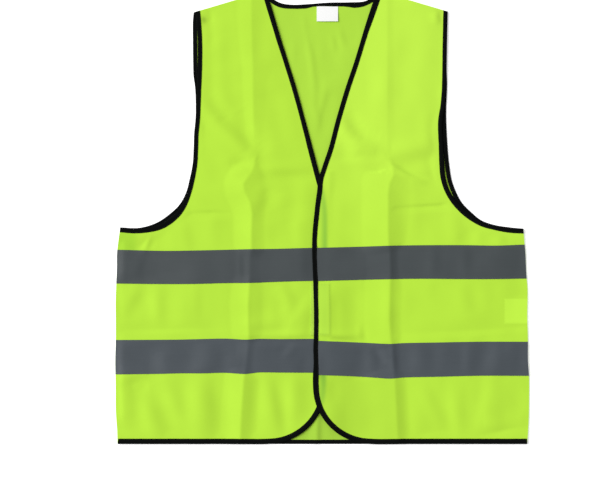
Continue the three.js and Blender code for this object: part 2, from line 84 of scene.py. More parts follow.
PAST_SEAM = 320  # an x beyond every seam
FLOOR_HALF = 6000
FLOOR_Z = -0.2
STEP = 2.5  # spacing of points along curves
FRONT_GRID = 2.5  # spacing of points inside a front panel
BACK_GRID = 3.5
TAPE_GRID = 2.4
LABEL_GRID = 2.0

# Stitches: pitch, width and height.
BINDING_STITCH = (3.0, 0.45, 0.2)
UNDER_STITCH = (3.0, 0.45, 0.04)
TAPE_STITCH = (2.8, 0.38, 0.14)
BOX_STITCH = (2.6, 0.4, 0.15)

# Light and camera: degrees and metres.
TO_LIGHT = 160  # from +X, seen from above
FLOW = (-math.cos(math.radians(TO_LIGHT)), -math.sin(math.radians(TO_LIGHT)))
KEY_ELEVATION = 37
KEY_SPREAD = 50
KEY_STRENGTH = 4.0
WORLD_STRENGTH = 0.40
CAMERA_PLACE = (-0.0283, -0.0388, 3.0)
SEEN_WIDTH = 0.9017
SENSOR_WIDTH = 36

# ------ outlines
# Side seams, from the armpit to the hem.
SEAMS = {
    "right": [(-300, -14.8), (-304.6, -51), (-305, -78), (-306.2, -105), (-306.8, -125),
              (-306.6, -155), (-306.7, -185), (-307.4, -215), (-306.8, -250), (-306.7, -284),
              (-305.8, -301), (-304.5, -319), (-304, -337)],
    "left": [(299.3, -16.6), (300.9, -37), (302.3, -51), (303.8, -85), (305.6, -105),
             (305.2, -150), (306.1, -180), (306.1, -212), (307.9, -240), (307.9, -275),
             (307.2, -305), (305, -337)],
}

# Finished armholes of the fronts and of the back, from the shoulder to the armpit.
HOLES = {
    "right": [(-187.8, 305.7), (-186, 285), (-184.9, 262), (-184.9, 225), (-186.3, 190),
              (-188.2, 145), (-190.2, 124), (-190.9, 103), (-192.2, 80), (-196.1, 57.5),
              (-200.4, 40.4), (-206.6, 23.2), (-216.9, 6.7), (-239.7, -10), (-272, -16.3),
              (-300, -14.8)],
    "left": [(186.9, 306), (185.9, 262), (185.4, 225), (184.6, 190), (182.7, 166), (179.1, 142),
             (180.3, 105), (181.9, 82), (183.5, 60), (188.8, 42), (199.3, 24.6), (216.7, 7),
             (239, -6.4), (258, -11.6), (272, -14.5), (285, -16), (299.3, -16.6)],
}
BACK_HOLES = {
    "right": [(-191, 304.8), (-192.2, 290), (-192.1, 262), (-191.7, 225), (-191.3, 212),
              (-188.6, 190), (-188, 145), (-190.6, 103), (-192.7, 78), (-197.2, 56), (-201.9, 38),
              (-211.3, 20), (-224.9, 6.5), (-245.7, -7.7), (-272, -15.5), (-300, -14.8)],
    "left": [(187.1, 306), (186.1, 262), (185.4, 225), (186.1, 197), (184.9, 167), (184.8, 145),
             (187, 103), (189.4, 78), (192.9, 56), (198.9, 39), (208, 22), (222.5, 7.2),
             (237, -4.4), (258, -11.6), (272, -13.8), (285, -15.4), (299.3, -16.6)],
}

# Necklines and front edges, from the neck point to where the rounded corner begins.
EDGES = {
    "right": [(-82.4, 336.8), (-68.9, 291.5), (-60.5, 263), (-51.3, 234.3), (-37.5, 189.7),
              (-25.2, 145), (-14, 103), (-8, 80), (-1.5, 55), (3.2, 38), (6.2, 22), (7.7, 8),
              (8.2, -20), (8, -94), (7.2, -175), (6.4, -230)],
    "left": [(81.5, 337), (66.2, 291.5), (48.9, 234.3), (34.1, 190), (20.8, 145), (9.8, 103),
             (2, 80), (-5.4, 55.7), (-7.5, 38), (-9.7, 22), (-11.2, 8), (-14, -20), (-14.9, -44),
             (-13.3, -94), (-12.1, -140), (-12.3, -175), (-13, -195), (-12.5, -218),
             (-13.6, -234)],
}
BACK_NECK = [(-82.4, 336.8), (-71, 323.9), (-60, 318.5), (-43, 316.4), (-20, 317.4), (10, 319.6),
             (40, 320), (62, 321.3), (72, 326), (81.5, 337)]

# Width of the binding along the front edges and the fronts' armholes: y and width.
EDGE_WIDTHS = {
    "right": [(337, 7.4), (300, 7.2), (280, 6.9), (250, 6.7), (160, 6.6), (120, 7), (105, 7.4),
              (-45, 7.2), (-95, 6.7), (-180, 6.7), (-235, 8.1), (-337, 8.1)],
    "left": [(337, 9), (299, 8.6), (287, 8), (275, 7.3), (260, 7.1), (60, 7.1), (38, 7.7),
             (15, 7.2), (-45, 7.2), (-60, 6.7), (-80, 6.7), (-100, 7.2), (-120, 6.7), (-215, 6.9),
             (-235, 8.6), (-255, 8.6), (-300, 8.1), (-337, 8.1)],
}
HOLE_WIDTHS = {
    "right": [(337, 6.6), (60, 6.8), (0, 7.3), (-30, 7.5)],
    "left": [(337, 6.6), (110, 6.7), (95, 7.3), (80, 7.9), (60, 7.4), (45, 7.2), (0, 7.3),
             (-30, 7.5)],
}
# Width of the back neck's binding: x and width. The cloth puffs over it beside the label.
NECK_WIDTHS = [(-89, 6.5), (-60, 6.8), (-45, 6.1), (-24, 6.4), (-14, 4.5), (-5, 4.5), (4, 5.3),
               (14, 6), (33, 6.2), (41, 7.4), (48, 8.6), (57, 7.8), (66, 6.5), (89, 6.5)]

# Reflective tapes: x, top and bottom.
TAPES = {
    "right": {
        "upper": [(-310, -47.9, -98.2), (-234, -49.8, -99), (-189, -49.2, -98.8),
                  (-144, -48.2, -97.6), (-104, -47.2, -97.2), (-70, -46.8, -95.8),
                  (-16, -45.3, -94.3), (10, -45, -94.1)],
        "lower": [(-310, -182.3, -233.3), (-240, -181.9, -232.4), (-211, -181.6, -231.6),
                  (-178, -180.8, -231.6), (-144, -180.2, -230.8), (-113, -181.6, -232.4),
                  (-95, -180.5, -230.3), (-66, -180.9, -230.4), (-16, -180.6, -230.8),
                  (10, -180.6, -230.7)],
    },
    "left": {
        "upper": [(-20, -45.6, -95), (56, -43.6, -92.8), (101, -42.1, -91.7), (146, -41.4, -91.1),
                  (212, -41.3, -91.6), (260, -41.9, -91.6), (300, -40.5, -90.9),
                  (310, -40.5, -90.8)],
        "lower": [(-20, -182.8, -233.7), (34, -185, -235.5), (79, -187.1, -238),
                  (101, -188, -239.4), (119, -186.9, -237.9), (175, -185.8, -236.6),
                  (235, -184.8, -235.2), (310, -184.9, -235.5)],
    },
    "back": {
        "upper": [(-310, -47.9, -98.2), (0, -45, -94.2), (310, -40.5, -90.8)],
        "lower": [(-310, -182.3, -233.3), (0, -184, -234.4), (310, -184.9, -235.5)],
    },
}

# ------ creases
# A ridge has a crest along its points, each (x, y, height, width of one flank, width of
# the other), first the flank on the right of the way they run. A negative height makes
# it a valley. A slope faces away from the light, or towards it where its steepness is
# negative: its row holds the width of its flank, the steepness of its middle in
# percent, and x and y of each point that it runs through.
RIGHT_RIDGES = [
    # The long packing fold, over and under the point where the cloth is pinched.
    [(-105, 337, 1.3, 22, 26), (-105, 300, 1.5, 22, 26), (-104, 250, 1.7, 19, 32),
     (-103, 222, 1.5, 16, 32), (-103, 200, 1.4, 16, 23), (-102, 150, 1.2, 14, 18),
     (-101, 125, 0.5, 12, 14), (-100, 105, 0.1, 10, 10)],
    [(-100, 80, 0.8, 18, 8), (-105, 67, 2.4, 30, 26), (-117, 50, 3.2, 29, 46),
     (-116, 40, 3.2, 29, 44), (-107, 22, 3.0, 29, 28), (-104, 5, 3.0, 28, 20),
     (-105, -20, 2.9, 27, 20), (-105, -48, 2.8, 27, 21), (-107, -60, 0.9, 20, 15),
     (-107, -85, 0.9, 20, 15), (-108, -98, 2.8, 27, 22), (-110, -130, 3.1, 28, 23),
     (-109, -175, 2.8, 26, 21), (-109, -187, 1.1, 18, 10), (-113, -225, 1.1, 18, 10),
     (-116, -238, 2.9, 30, 24), (-120, -290, 3.0, 31, 25), (-122, -337, 3.0, 31, 24)],
    # Cross folds.
    [(-206, 6, -0.5, 12, 5), (-165, 7, -1.2, 12, 5), (-135, 6, -0.2, 12, 5)],
    [(-294, -167, -0.4, 8, 13), (-230, -166, -1.1, 8, 16), (-145, -165, -0.1, 8, 13)],
]
RIGHT_SLOPES = [
    (14, 6.5, -150, 268, -146, 205), (12, -5, -165, 296, -163, 246), (6, 16, -177, 306, -172, 288),
    (10, 8.5, -172, 300, -170, 160), (14, -6, -84, 292, -84, 225), (13, -6.5, -66, 190, -50, 112),
    (12, 5.5, -148, 210, -136, 160), (10, 11, -172, 172, -150, 146, -124, 118, -99, 94),
    (15, 5, -166, 140, -118, 86), (11, 11.5, -134, 152, -104, 106), (9, 7, -94, 136, -92, 96),
    (14, 3.5, -166, 100, -160, 44), (7, -6, -138, 73, -108, 77), (7, 6, -96, 100, -90, 58),
    (8, 8, -92, 66, -50, 67, -14, 66), (8, 6, -81, 48, -88, 30, -96, 10),
    (11, -5, -70, 34, -66, 12), (9, -7, -44, -2, -38, -44), (12, 8, -288, -18, -284, -52),
    (5, -14, -270, -50, -256, -20), (4, 12, -261, -50, -249, -20), (12, -6, -230, -10, -230, -52),
    (9, 7.5, -203, -2, -194, -52), (11, -6, -174, 5, -168, -48), (12, -6, -58, -8, -56, -46),
    (12, -5.5, -34, 56, -32, -45),
    # Under the upper tape, and between the tapes.
    (36, 7.5, -280, -48, -280, -97), (8, 6, -262, -52, -274, -92), (4, 8.5, -120, -52, -119, -92),
    (20, -3.5, -62, -50, -62, -95), (8, 5, -24, -46, -22, -95), (9, 8.5, -266, -98, -291, -150),
    (9, -5.5, -256, -112, -250, -150), (8, 4, -238, -98, -238, -162),
    (12, -6, -216, -98, -214, -162), (7, 4.5, -184, -98, -183, -150),
    (11, 7.5, -88, -98, -88, -172), (9, -6, -56, -106, -52, -160), (8, 7, -58, -98, -44, -124),
    (8, 4.5, -70, -122, -70, -168), (8, -8, -18, -112, -55, -168), (8, 7, -16, -140, -28, -180),
    (9, 6, -106, -164, -50, -164), (5, 14, -106, -178, -60, -179, -14, -178),
    # Under the lower tape, and from there to the hem.
    (32, 5.5, -284, -184, -284, -231), (20, 4, -84, -184, -84, -230),
    (16, -8.5, -184, -186, -180, -228), (11, -7, -138, -200, -138, -230),
    (11, -6, -246, -200, -244, -232), (6, -8.5, -60, -204, -42, -190),
    (8, -6.5, -20, -208, -20, -232), (13, 14, -286, -236, -280, -300),
    (10, 7, -300, -242, -258, -240), (12, 10.5, -264, -254, -248, -292, -232, -325),
    (10, -6, -243, -238, -225, -280, -210, -318), (12, -6.5, -196, -236, -196, -330),
    (14, 12, -166, -236, -160, -330), (7, 4, -146, -236, -144, -330),
    (9, 6, -106, -238, -112, -332), (9, -6, -90, -236, -86, -325), (8, 9.5, -74, -240, -60, -325),
    (7, -5, -50, -236, -48, -315), (12, 8.5, -32, -236, -28, -302),
]
LEFT_RIDGES = [
    [(97, 337, 0.5, 32, 10), (97, 300, 0.5, 34, 10), (97, 200, 0.65, 32, 11),
     (97, 150, 0.5, 28, 12), (97, 115, 0.4, 24, 13), (97, 95, 0.1, 14, 13)],
    [(99, 86, 0.4, 16, 8), (106, 74, 1.2, 34, 17), (106, 63, 2.4, 40, 26), (100, 50, 3.5, 42, 34),
     (98, 35, 3.8, 40, 34), (98, 15, 3.9, 40, 34), (98, -20, 3.8, 40, 30), (99, -42, 3.6, 40, 25),
     (101, -52, 2.2, 36, 12), (102, -85, 2.2, 36, 12), (101, -97, 2.9, 38, 19),
     (100, -150, 2.8, 38, 18), (102, -182, 2.5, 36, 17), (105, -192, 1.7, 24, 11),
     (107, -225, 1.7, 24, 11), (108, -240, 2.3, 75, 18), (111, -300, 2.3, 75, 20),
     (113, -337, 2.3, 75, 20)],
    [(110, 14, -0.5, 10, 5), (150, 16, -1.3, 10, 5), (198, 19, -1.3, 10, 5)],
    [(120, -172, -0.3, 10, 18), (220, -168, -1.2, 10, 21), (302, -163, -0.4, 8, 18)],
]
LEFT_SLOPES = [
    (20, -5.5, 140, 312, 140, 172), (6, 20, 172, 306, 177, 288), (14, -4, 84, 230, 84, 134),
    (10, 11.5, 32, 154, 43, 132, 60, 116, 84, 108), (10, -6, 36, 112, 44, 88),
    (6, -4, 20, 84, 60, 86, 92, 85), (3.5, 15, 102, 82, 116, 72, 136, 61, 154, 55),
    (12, 9, 104, 90, 130, 91, 166, 96), (9, 8.5, 160, 158, 166, 104), (12, 6, 162, 104, 160, 48),
    (8, 7, 8, 78, 8, -44), (26, -5.5, 40, 104, 38, -44), (10, -3.5, 128, 44, 128, -36),
    (14, -4.5, 166, 10, 164, -42), (12, -6.5, 188, 12, 186, -40), (8, 5, 205, -20, 206, -42),
    (8, -6, 228, -14, 226, -42), (9, 8.5, 272, -22, 272, -42), (5, 7, 287, -22, 288, -42),
    # Under the upper tape, and between the tapes.
    (8, 6, 170, -44, 170, -88), (8, 7, 217, -44, 217, -88), (12, -3.5, 245, -44, 245, -88),
    (16, 2.5, 285, -44, 285, -88), (17, 10, 24, -104, 26, -180), (8, 7, 4, -128, 6, -176),
    (12, 2, 66, -98, 66, -180), (8, 2, 165, -96, 165, -122), (11, 7, 215, -96, 222, -142),
    (12, -5.5, 262, -96, 262, -138), (4, 10, 58, -160, 60, -184),
    (5, 20, -8, -172, 14, -178, 56, -180), (12, 5.5, 44, -106, 44, -180),
    (6, 9, 15, -112, 17, -178), (7, 6.5, 103, -95, 103, -180),
    # Under the lower tape, and from there to the hem.
    (9, -8.5, 66, -184, 68, -234), (6, -8.5, 78, -192, 98, -212), (3.5, 10, 106, -189, 110, -232),
    (12, -7, 135, -188, 135, -234), (10, -6, 172, -190, 172, -234), (7, -7, 212, -188, 212, -234),
    (13, -11, 255, -186, 244, -234), (8, -6, 280, -186, 272, -200), (10, 6, 288, -205, 288, -236),
    (9, 10, 10, -238, 11, -276), (18, 8, 28, -238, 30, -328), (15, 6.5, 54, -238, 58, -332),
    (8, 5.5, 115, -240, 121, -332), (12, -3, 134, -284, 136, -330),
    (9, 5.5, 152, -244, 168, -278, 184, -312), (8, -5, 186, -238, 196, -320),
    (8, 4.5, 210, -240, 210, -330), (9, -7, 246, -240, 230, -320), (12, 8.5, 268, -246, 264, -328),
    (10, 5, 284, -240, 284, -325), (12, 7, 240, -318, 300, -318),
]
BACK_RIDGES = [
    [(-103, 330, 0.8, 16, 14), (-101, 150, 1.2, 16, 14), (-104, -45, 1.4, 16, 14),
     (-106, -180, 1.4, 16, 14), (-118, -330, 1.6, 18, 14)],
    [(97, 330, 0.8, 20, 12), (97, 150, 1.0, 20, 12), (99, -45, 1.4, 20, 12),
     (104, -180, 1.4, 20, 12), (113, -330, 1.6, 20, 12)],
    # The middle fold, which shows at the bottom of the front opening.
    [(-3, -200, 0.3, 12, 10), (-6, -285, 1.2, 15, 8), (-7, -320, 1.8, 15, 7),
     (-7, -337, 1.8, 15, 7)],
]
BACK_SLOPES = [
    # In the neckline.
    (5, 14, -24, 306, -19, 270, -14, 245, -8, 200, -7, 170), (7, 8, -37, 276, -34, 212),
    (6, 17, 8, 188, -4, 126), (15, -4.5, 26, 268, 20, 220), (5, 10, -10, 176, -5, 146),
    (4, 12, 17, 272, 22, 247), (6, 9, 30, 282, 36, 256), (7, -6, 48, 300, 52, 262),
    (12, 5, 2, 252, 3, 205),
    # At the hem, and on the hidden side.
    (6, 7, 14, -296, 20, -337), (12, 6.5, -200, 240, -150, 60), (12, 6.5, 150, 250, 170, 80),
    (9, 7, -240, -110, -236, -160), (11, 8, -190, -240, -176, -320), (10, -6.5, -60, 30, -44, -40),
    (9, 7, -40, -105, -52, -165), (10, -7, 60, -245, 52, -320), (10, 7, 215, -100, 222, -165),
    (9, 8, 190, -240, 210, -320),
]
RIDGES = {"back": BACK_RIDGES, "right": RIGHT_RIDGES, "left": LEFT_RIDGES}
SLOPES = {"back": BACK_SLOPES, "right": RIGHT_SLOPES, "left": LEFT_SLOPES}


# ------ curves
def unit(v):
    return v / np.linalg.norm(v, axis=-1, keepdims=True)


def way(start, end):
    return unit(np.subtract(end, start))


def ease(t):
    t = np.clip(t, 0, 1)
    return t * t * (3 - 2 * t)


def between(a, b, start, end, t):
    """The blend that is a where t is start, and b where it is end."""
    return ((end - t) * a + (t - start) * b) / (end - start)


def smooth(points, step=STEP):
    """A centripetal Catmull-Rom curve through the points, with a point about every step."""
    p = np.asarray(points, float)
    p = np.vstack([2 * p[0] - p[1], p, 2 * p[-1] - p[-2]])
    parts = []
    for p0, p1, p2, p3 in zip(p, p[1:], p[2:], p[3:]):
        t1 = math.sqrt(np.linalg.norm(p1 - p0))
        t2 = t1 + math.sqrt(np.linalg.norm(p2 - p1))
        t3 = t2 + math.sqrt(np.linalg.norm(p3 - p2))
        count = max(1, round(np.linalg.norm(p2 - p1) / step))
        t = np.linspace(t1, t2, count, endpoint=False)[:, None]
        a1, a2, a3 = between(p0, p1, 0, t1, t), between(p1, p2, t1, t2, t), between(p2, p3, t2, t3, t)
        b1, b2 = between(a1, a2, 0, t2, t), between(a2, a3, t1, t3, t)
        parts.append(between(b1, b2, t1, t2, t))
    return np.vstack([*parts, p[-2]])


def straight(start, end):
    """Points of a straight line, its two ends left out."""
    count = max(2, round(math.dist(start, end) / STEP))
    t = np.linspace(0, 1, count + 1)[1:-1, None]
    return np.asarray(start) * (1 - t) + np.asarray(end) * t


def by_height(table, y):
    """The value at y from a table whose rows run downwards, each (y, value)."""
    table = np.asarray(table)
    return np.interp(-y, -table[:, 0], table[:, 1])


def distance_to(curve, x, y):
    """Distance from each point to the nearest point of a curve."""
    best = np.full(np.shape(x), 1e9)
    for px, py in curve:
        best = np.minimum(best, (x - px) ** 2 + (y - py) ** 2)
    return np.sqrt(best)


def nearest_on(path, x, y):
    """Offsets from the nearest point of a path, that segment's way, and how far along."""
    best = np.full(np.shape(x), 1e9)
    found = [np.zeros_like(best)] * 5
    for i, (a, b) in enumerate(zip(path, path[1:])):
        run = b - a
        length = math.hypot(*run)
        t = np.clip(((x - a[0]) * run[0] + (y - a[1]) * run[1]) / length**2, 0, 1)
        dx, dy = x - a[0] - run[0] * t, y - a[1] - run[1] * t
        far = dx * dx + dy * dy
        closer = far < best
        best = np.where(closer, far, best)
        here = (dx, dy, run[0] / length, run[1] / length, i + t)
        found = [np.where(closer, new, old) for new, old in zip(here, found)]
    return found


class Bound:
    """A bound outline: its curve, and the curves inside it, their ends on the seams."""

    def __init__(self, points, hand, start_way, end_way):
        self.curve = smooth(points)
        self.hand = hand
        self.ways = (start_way, end_way)

    def inside(self, distance):
        """The curve moved to its left (hand 1) or right (-1), its ends along their seams."""
        along = unit(np.gradient(self.curve, axis=0))
        normal = self.hand * np.column_stack([-along[:, 1], along[:, 0]])
        moved = self.curve + np.reshape(distance, (-1, 1)) * normal
        reach = np.broadcast_to(distance, len(self.curve))
        for end, seam in zip((0, -1), self.ways):
            moved[end] = self.curve[end] + seam * reach[end] / seam.dot(normal[end])
        return moved


def corner_and_hem(edge, seam, hand):
    """A front edge, the rounded corner under it, and the hem as far as the side seam."""
    start = edge[-1][0]
    arc = [(start + hand * CORNER_RADIUS * (1 - math.cos(t)),
            CORNER_TOP_Y - CORNER_RADIUS * math.sin(t)) for t in np.linspace(0, math.pi / 2, 8)]
    hem = np.linspace(arc[-1][0], seam[-1][0], 6)[1:]
    return [*edge, *arc, *[(x, HEM_Y) for x in hem]]


bounds = {}
shoulders = []
hem_ways = []
for side, hand in (("right", 1), ("left", -1)):
    seam, edge, hole, back_hole = SEAMS[side], EDGES[side], HOLES[side], BACK_HOLES[side]
    down = way(seam[0], seam[1])
    shoulder = way(hole[0], edge[0])
    outline = corner_and_hem(edge, seam, -hand)
    bounds[f"{side}_hole"] = Bound(hole, hand, shoulder, down)
    bounds[f"{side}_front"] = Bound(outline, -hand, -shoulder, -down)
    bounds[f"back_{side}_hole"] = Bound(back_hole, hand, way(back_hole[0], edge[0]), down)
    shoulders.append(-shoulder)
    hem_ways.append(-way(seam[-2], seam[-1]))
bounds["back_neck"] = Bound(BACK_NECK, -1, *shoulders)
hem_ends = [SEAMS[side][-1][0] for side in ("right", "left")]
bounds["back_hem"] = Bound([(x, HEM_Y) for x in np.linspace(*hem_ends, 8)], 1, *hem_ways)
seams = {side: smooth(points) for side, points in SEAMS.items()}


def side_x(side, y):
    return by_height(seams[side][:, ::-1], y)


def front_x(side, y):
    """x of a front edge's outline, above its rounded corner."""
    curve = bounds[f"{side}_front"].curve
    upright = curve[: np.argmin(curve[:, 1] > CORNER_TOP_Y - 60)]
    return by_height(upright[:, ::-1], y)


# ------ heights
def ridge(points, x, y):
    """Height of one ridge: a crest with hollow flanks, as a fold in thin cloth has."""
    points = np.asarray(points, float)
    dx, dy, ux, uy, place = nearest_on(points[:, :2], x, y)
    number = np.arange(len(points))
    crest, first, second = (np.interp(place, number, points[:, i]) for i in (2, 3, 4))
    on_first = ux * dy - uy * dx < 0
    t = np.clip(1 - np.hypot(dx, dy) / np.where(on_first, first, second), 0, 1)
    return crest * t ** np.where(on_first, *FLANK_POWER)


def slope(width, steepness, points, x, y):
    """Height of one slope that falls away from the light, and levels out on both sides."""
    normal = unit(np.array([points[0, 1] - points[-1, 1], points[-1, 0] - points[0, 0]]))
    steepness = steepness / max(0.45, abs(normal.dot(FLOW)))
    path = smooth(points, 12)
    dx, dy, ux, uy, place = nearest_on(path, x, y)
    across = (ux * dy - uy * dx) * np.sign(normal.dot(FLOW)) / width
    t = place / (len(path) - 1)
    beyond = np.where((t <= 0) | (t >= 1), ux * dx + uy * dy, 0)
    ends = np.exp(-((beyond / width) ** 2)) * (0.25 + 0.75 * np.sin(np.pi * t) ** 0.7)
    return -steepness * width * across * np.exp(-(across**2) / 2) * ends


def waves(seed, x, y):
    """The gentle unevenness of cloth that lies slack, the same each time."""
    random = np.random.default_rng(seed)
    height = np.zeros(np.shape(x))
    for length in WAVE_LENGTHS:
        for _ in range(3):
            turn = random.uniform(0, 2 * math.pi)
            phase = random.uniform(0, 2 * math.pi)
            k = 2 * math.pi / length
            size = WAVE_STEEPNESS * length / (2 * math.pi)
            height += size * np.sin(k * (x * math.cos(turn) + y * math.sin(turn)) + phase)
    return height


def creases(panel, x, y):
    """Height that a panel's ridges, slopes and waves add."""
    height = np.zeros(np.shape(x))
    for points in RIDGES[panel]:
        height = height + ridge(points, x, y)
    for width, percent, *points in SLOPES[panel]:
        height = height + slope(width, percent / 100, np.reshape(points, (-1, 2)), x, y)
    return height + waves(SEEDS[panel], x, y)


def at_least(height, floor, softness=0.25):
    """The height, bent smoothly so that it stays over the floor."""
    over = height - floor
    return floor + (over + np.sqrt(over**2 + softness**2)) / 2


def box_mask(x, y, left, right, bottom, top, soft=1.6):
    """1 inside a box, falling to 0 over its soft rim."""
    across = np.minimum(x - left, right - x)
    upright = np.minimum(y - bottom, top - y)
    return ease(np.minimum(across, upright) / soft + 0.5)


def back_z(x, y):
    """Underside of the back panel, which lies on the floor but for its creases."""
    return BACK_Z + at_least(BACK_REST + creases("back", x, y), 0.0, BACK_REST) - TOUCH


def front_z(side, x, y):
    """Underside of a front panel, which comes down to the back panel at its side seam."""
    own_edge = distance_to(bounds[f"{side}_front"].curve, x, y)
    hole_edge = distance_to(bounds[f"{side}_hole"].curve, x, y)
    under = back_z(x, y)
    from_side = np.where(y < ARMPIT_Y, np.abs(side_x(side, y) - x), np.inf)
    billow = BILLOW * ease(np.minimum(own_edge, hole_edge) / BILLOW_WIDTH)
    rise = FRONT_Z + billow - under - LAYER
    rolled = ROLL_SHARE[side]
    fade = (rolled * ease((from_side + 2) / SIDE_ROLL)
            + (1 - rolled) * ease((from_side + 12) / SIDE_FADE))
    height = under + LAYER + rise * fade
    height = height + creases(side, x, y) * ease((from_side + 2) / 14)
    # It lies on the back, with room for its own binding's underside at its edge, and for
    # the back's binding as well at the armhole, neck and hem.
    rim = np.minimum(hole_edge, distance_to(bounds["back_neck"].curve, x, y))
    rim = np.minimum(rim, y - HEM_Y)
    floor = under + LAYER * (1 + 2 * ease((30 - rim) / 20))
    floor = np.maximum(floor, under + LAYER * (1 + ease((26 - own_edge) / 16)))
    if side == "left":
        height, floor = over_right(x, y, height, floor, under)
    return at_least(height, floor)


def over_right(x, y, height, floor, under):
    """Lifts the left front over the right one, the care label and the hook strip."""
    # The lift grows down to the point of the V. Below it the right front holds the cloth up,
    # and beside that it comes down like a tent.
    upwards = ease((145 - y) / 75)
    height = height + OVERLAP_LIFT * ease((56 - x) / 46) ** 1.2 * upwards
    held = ease((74 - y) / 6)
    tent = front_z("right", x, y) + OVERLAP_LIFT - 0.2 - 0.12 * np.maximum(0, x - 11)
    floor = np.maximum(floor, tent - 6 * (1 - held))
    inner, top, bottom = CARE_LABEL
    label = box_mask(x, y, inner - 3, PAST_SEAM, bottom - 3, top + 3, 6)
    floor = np.maximum(floor, under + LAYER * (1 + label))
    edge = front_x("left", y)
    strip = box_mask(x, y, edge - 20, edge + STRIP_REACH, STRIP_BOTTOM, STRIP_TOP)
    height = height + LAYER * strip * ease((x - edge) / (BINDING_WIDTH - GAP))
    return height, floor


def under_z(panel, x, y):
    """Underside of a panel."""
    return back_z(x, y) if panel == "back" else front_z(panel, x, y)


def tape_lines(table, x):
    """Top and bottom of a tape, at x."""
    curves = [smooth([(row[0], row[i]) for row in table], 8) for i in (1, 2)]
    return [np.interp(x, curve[:, 0], curve[:, 1]) for curve in curves]


def on_tape(tables, x, y):
    """1 on a tape, falling to 0 beside it."""
    cover = np.zeros(np.shape(x))
    for table in tables:
        top, bottom = tape_lines(table, x)
        cover = np.maximum(cover, ease((top + 3.5 - y) / 2) * ease((y - bottom + 3.5) / 2))
    return cover


# ------ mesh making
def placed(name, data):
    """A new object in the scene."""
    obj = bpy.data.objects.new(name, data)
    scene.collection.objects.link(obj)
    return obj


class Piece:
    """Points and faces of one piece, in millimetres, and a material number for each face."""

    def __init__(self):
        self.points = []
        self.faces = []
        self.slots = []
        self.weave = []
        self.count = 0

    def add(self, points, faces, slot=0, weave=None):
        points = np.asarray(points, float)
        self.faces.extend([i + self.count for i in face] for face in faces)
        self.slots.extend([slot] * len(faces))
        self.points.append(points)
        self.weave.append(points if weave is None else weave)
        self.count += len(points)

    def make(self, name, materials, tint=None):
        mesh = bpy.data.meshes.new(name)
        points = np.vstack(self.points)
        mesh.from_pydata((points * MM).tolist(), [], self.faces)
        mesh.polygons.foreach_set("material_index", self.slots)
        mesh.shade_smooth()
        mesh.set_sharp_from_angle(angle=math.radians(48))
        weave = mesh.attributes.new("weave", "FLOAT_VECTOR", "POINT")
        weave.data.foreach_set("vector", (np.vstack(self.weave) * MM).ravel())
        if tint is not None:
            colour = mesh.color_attributes.new("tint", "FLOAT_COLOR", "POINT")
            rgba = np.column_stack([tint(points[:, 0], points[:, 1]), np.ones(len(points))])
            colour.data.foreach_set("color", rgba.ravel())
        for material in materials:
            mesh.materials.append(material)
        mesh.update()
        return placed(name, mesh)


def inside(loop, x, y):
    """Whether each point is inside a closed outline."""
    odd = np.zeros(len(x), bool)
    for (ax, ay), (bx, by) in zip(loop, np.roll(loop, -1, axis=0)):
        if ay != by:
            crosses = (ay > y) != (by > y)
            odd ^= crosses & (x < ax + (y - ay) * (bx - ax) / (by - ay))
    return odd


def fill(loop, spacing):
    """Points and triangles that fill a closed outline with an even triangular grid."""
    low, high = loop.min(axis=0), loop.max(axis=0)
    x, y = np.meshgrid(np.arange(low[0], high[0], spacing),
                       np.arange(low[1], high[1], spacing * math.sqrt(0.75)))
    x[1::2] += spacing / 2
    x, y = x.ravel(), y.ravel()
    keep = inside(loop, x, y)
    x, y = x[keep], y[keep]
    keep = distance_to(loop, x, y) > 0.7 * spacing
    points = np.vstack([loop, np.column_stack([x, y])[keep]])
    border = [(i, (i + 1) % len(loop)) for i in range(len(loop))]
    filled = delaunay_2d_cdt([Vector(p) for p in points.tolist()], border, [], 1, 1e-6)
    return np.array([tuple(p) for p in filled[0]]), np.array(filled[2])


def shell(piece, xy, faces, under):
    """A closed shell on faces that run anticlockwise, from its underside's heights."""
    faces = np.asarray(faces)
    count = len(xy)
    low = np.column_stack([xy, under])
    high = low + (0, 0, CLOTH)
    start = faces.ravel()
    end = np.roll(faces, -1, axis=1).ravel()
    rim = ~np.isin(start * count + end, end * count + start)
    rims = np.column_stack([start, end, end + count, start + count])[rim]
    piece.add(np.vstack([low, high]),
              [*faces[:, ::-1].tolist(), *(faces + count).tolist(), *rims.tolist()])


def grid_shell(piece, x, y, under):
    """A closed shell on a grid of points; rows run down and columns towards +X."""
    number = np.arange(x.size).reshape(x.shape)
    faces = np.stack([number[1:, :-1], number[1:, 1:], number[:-1, 1:], number[:-1, :-1]],
                     axis=-1).reshape(-1, 4)
    shell(piece, np.column_stack([x.ravel(), y.ravel()]), faces, under.ravel())


def sweep(piece, rings, weave):
    """A closed solid through rings of points, each (stations, ring, 3)."""
    stations, ring, _ = rings.shape
    number = np.arange(stations * ring).reshape(stations, ring)
    turned = np.roll(number, -1, axis=1)
    walls = np.stack([number[:-1], number[1:], turned[1:], turned[:-1]], axis=-1).reshape(-1, 4)
    faces = [*walls.tolist(), number[0].tolist(), number[-1][::-1].tolist()]
    points = rings.reshape(-1, 3)
    around = points - points.mean(axis=0)
    a, b, c, d = (around[walls[:, i]] for i in range(4))
    volume = (np.cross(b - a, c - a) * a).sum() + (np.cross(c - a, d - a) * a).sum()
    if volume < 0:
        faces = [face[::-1] for face in faces]
    piece.add(points, faces, 0, weave.reshape(-1, 3))


